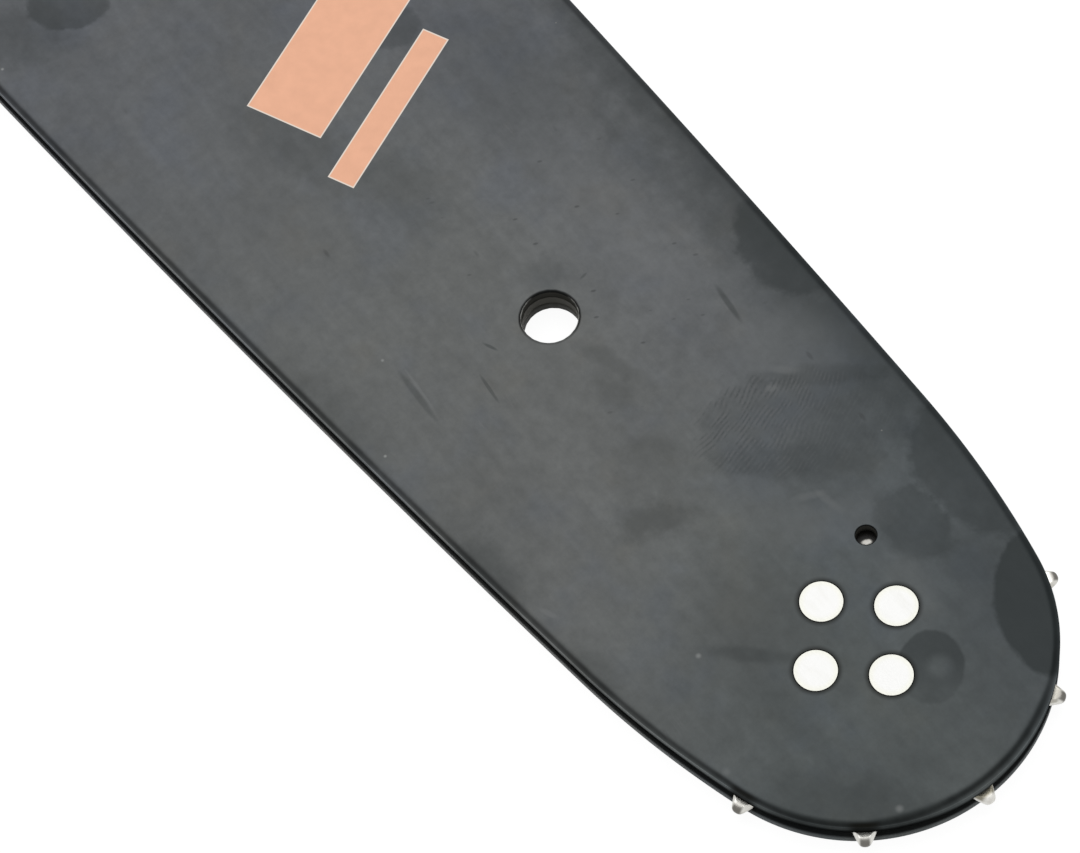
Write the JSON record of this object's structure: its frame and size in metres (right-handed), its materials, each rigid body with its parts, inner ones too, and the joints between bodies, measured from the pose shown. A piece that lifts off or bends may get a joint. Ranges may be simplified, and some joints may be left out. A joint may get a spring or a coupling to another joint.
{
  "type": "chainsaw guide bar",
  "caption": "Flat laminated chainsaw guide bar with bevelled rails, a chain groove round its rim and a star sprocket turning on rollers in its rounded nose.",
  "frame": {"origin": "middle of the stud slot, on the bar's lower face, which seats on the saw", "axes": "+X along the bar towards the nose, +Y across it, +Z through its thickness, up from the seat"},
  "size_m": [0.5138, 0.0628, 0.0041],
  "materials": {
    "plate_finish": "dark grey satin, smudged",
    "core_steel": "dark rolled steel",
    "sprocket_steel": "hardened, satin",
    "bearing_steel": "ground",
    "rivet_steel": "ground flush, bright"
  },
  "bodies": {
    "bar": {"side_plate_upper": "plate_finish", "side_plate_lower": "plate_finish", "core_plate": "core_steel", "bearing_inner_race": "bearing_steel", "nose_rivets": "rivet_steel"},
    "sprocket": {"nose_sprocket": "sprocket_steel"},
    "roller_set": {"roller_01": "bearing_steel", "roller_02": "bearing_steel", "roller_03": "bearing_steel", "roller_04": "bearing_steel", "roller_05": "bearing_steel", "roller_06": "bearing_steel", "roller_07": "bearing_steel", "roller_08": "bearing_steel", "roller_09": "bearing_steel", "roller_10": "bearing_steel", "roller_11": "bearing_steel", "roller_12": "bearing_steel", "roller_13": "bearing_steel", "roller_14": "bearing_steel", "roller_15": "bearing_steel", "roller_16": "bearing_steel"}
  },
  "joints": [
    {"name": "sprocket_spin", "type": "hinge", "parent": "bar", "child": "sprocket", "pos_m": [0.445, 0, 0.00205], "axis": [0, 0, 1], "continuous": true},
    {"name": "roller_orbit", "type": "hinge", "parent": "bar", "child": "roller_set", "pos_m": [0.445, 0, 0.00205], "axis": [0, 0, 1], "continuous": true}
  ],
  "couplings": [
    {"joint": "roller_orbit", "follows": "sprocket_spin", "ratio": 0.5971}
  ]
}
